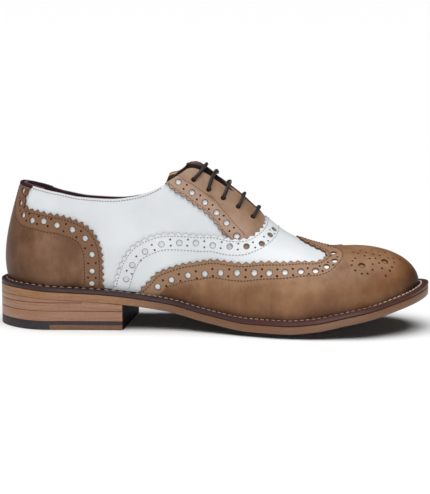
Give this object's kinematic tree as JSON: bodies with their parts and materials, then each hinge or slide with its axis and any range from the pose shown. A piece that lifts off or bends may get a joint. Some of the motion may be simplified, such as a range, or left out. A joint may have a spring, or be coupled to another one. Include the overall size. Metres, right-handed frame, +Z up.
{
  "type": "brogue oxford",
  "caption": "Two-tone laced dress shoe, left foot: hollow lasted upper with wing cap, counter and facings on a welted leather sole with a stacked heel.",
  "frame": {"origin": "on the floor, under the middle of the leather insert in the heel's top piece", "axes": "+X from heel to toe, +Y to the outer (lateral) side, +Z up"},
  "size_m": [0.3053, 0.1022, 0.1177],
  "materials": {
    "white_leather": "smooth, satin",
    "tan_leather": "smooth, hand-antiqued, satin",
    "burnished_leather": "smooth, burnished dark at the toe",
    "tongue_leather": "matt dark brown",
    "welt_leather": "dark brown, waxed edge",
    "insole_leather": "matt dark brown",
    "sole_leather": "natural tan, waxed edge",
    "heel_leather": "stacked layers, waxed edge",
    "heel_rubber": "matt",
    "lace_cotton": "waxed round braid"
  },
  "bodies": {
    "root": {"outsole": "sole_leather", "welt": "welt_leather", "insole": "insole_leather", "heel_top_rubber": "heel_rubber", "heel_top_leather": "sole_leather", "heel_lift_1": "heel_leather", "heel_lift_2": "heel_leather", "heel_lift_3": "heel_leather", "upper": "white_leather", "vamp": "white_leather", "wing_cap": "burnished_leather", "heel_counter": "tan_leather", "facing_medial": "tan_leather", "facing_lateral": "tan_leather", "tongue": "tongue_leather", "lace_bar_1": "lace_cotton", "lace_bar_2": "lace_cotton", "lace_bar_3": "lace_cotton", "lace_bar_4": "lace_cotton", "lace_bar_5": "lace_cotton"}
  },
  "joints": []
}
